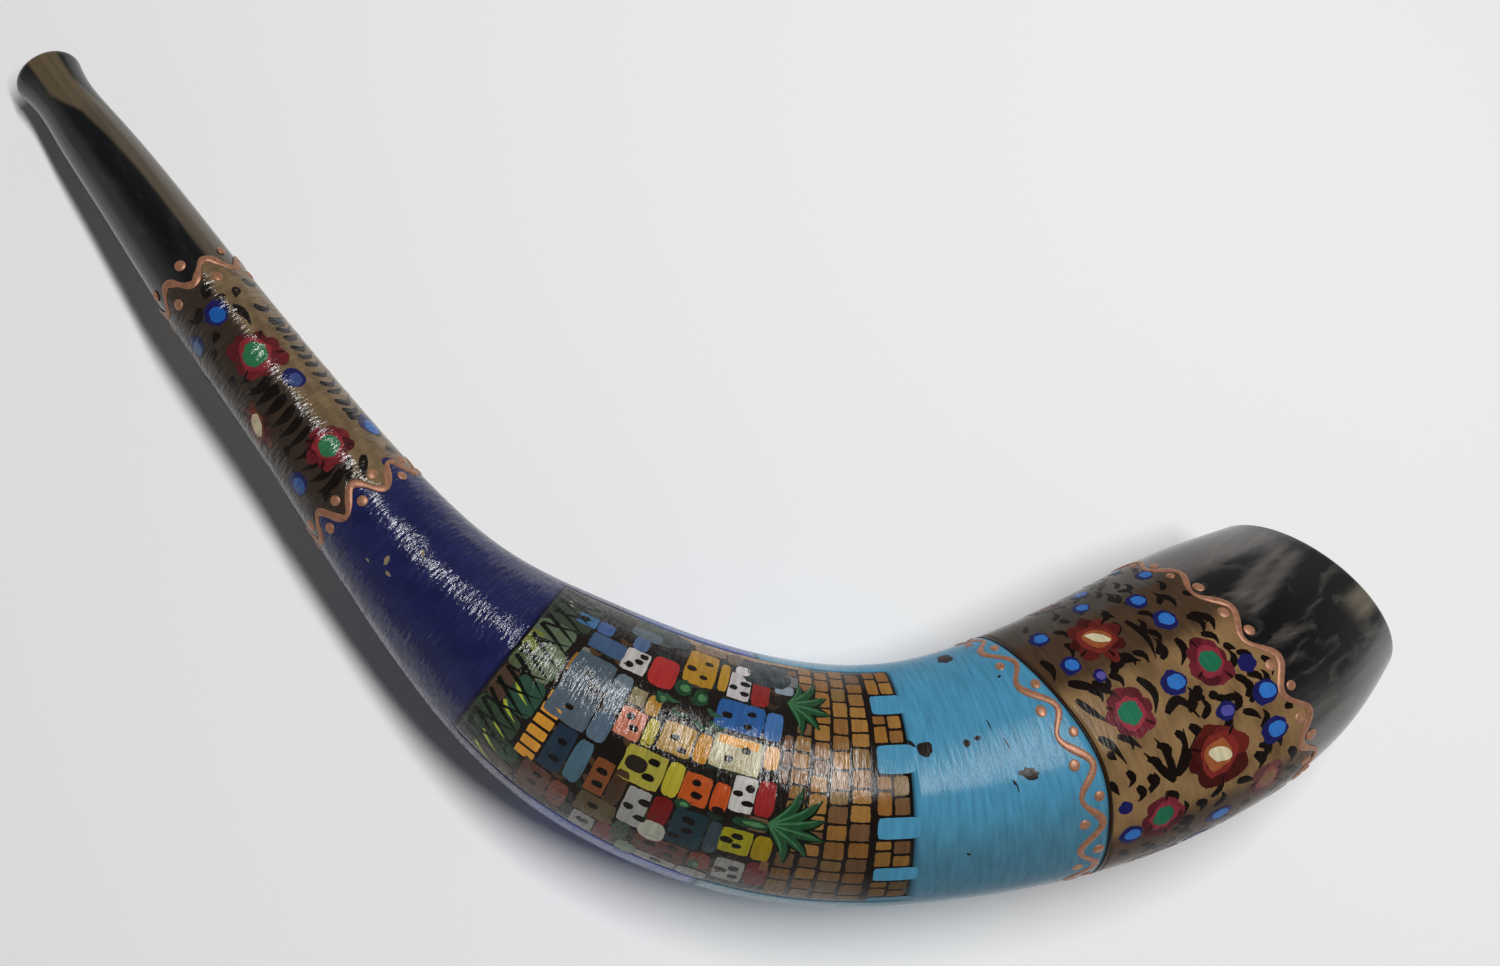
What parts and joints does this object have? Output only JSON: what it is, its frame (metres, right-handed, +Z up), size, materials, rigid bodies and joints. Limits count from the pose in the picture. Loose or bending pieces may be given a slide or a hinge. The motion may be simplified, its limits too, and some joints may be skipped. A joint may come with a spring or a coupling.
{
  "type": "shofar",
  "caption": "Curved ram's-horn shofar with a flared blowing end, a drilled throat and a sawn bell, painted in bands of flowers and a walled town.",
  "frame": {"origin": "the middle of the horn's bounding box, on the surface it lies on", "axes": "+X along the longest extent, from the blowing end towards the bell; +Y towards the inside of the bend; +Z up from the surface, along the shortest extent"},
  "size_m": [0.3642, 0.2226, 0.0606],
  "materials": {
    "horn": "polished natural horn, black with tan and grey streaks, under clear varnish",
    "floral_paint": "brown translucent ground with painted flowers, under clear varnish",
    "dark_blue_paint": "brushed acrylic paint, under clear varnish",
    "city_paint": "brushed acrylic paint in many colours, under clear varnish",
    "light_blue_paint": "brushed acrylic paint, under clear varnish",
    "copper_paint": "raised relief paint with copper pigment"
  },
  "bodies": {
    "root": {"horn": "horn", "tip_floral_coat": "floral_paint", "dark_blue_coat": "dark_blue_paint", "city_panel_coat": "city_paint", "light_blue_coat": "light_blue_paint", "bell_floral_coat": "floral_paint", "copper_line_1": "copper_paint", "copper_line_2": "copper_paint", "copper_line_3": "copper_paint", "copper_line_4": "copper_paint"}
  },
  "joints": []
}
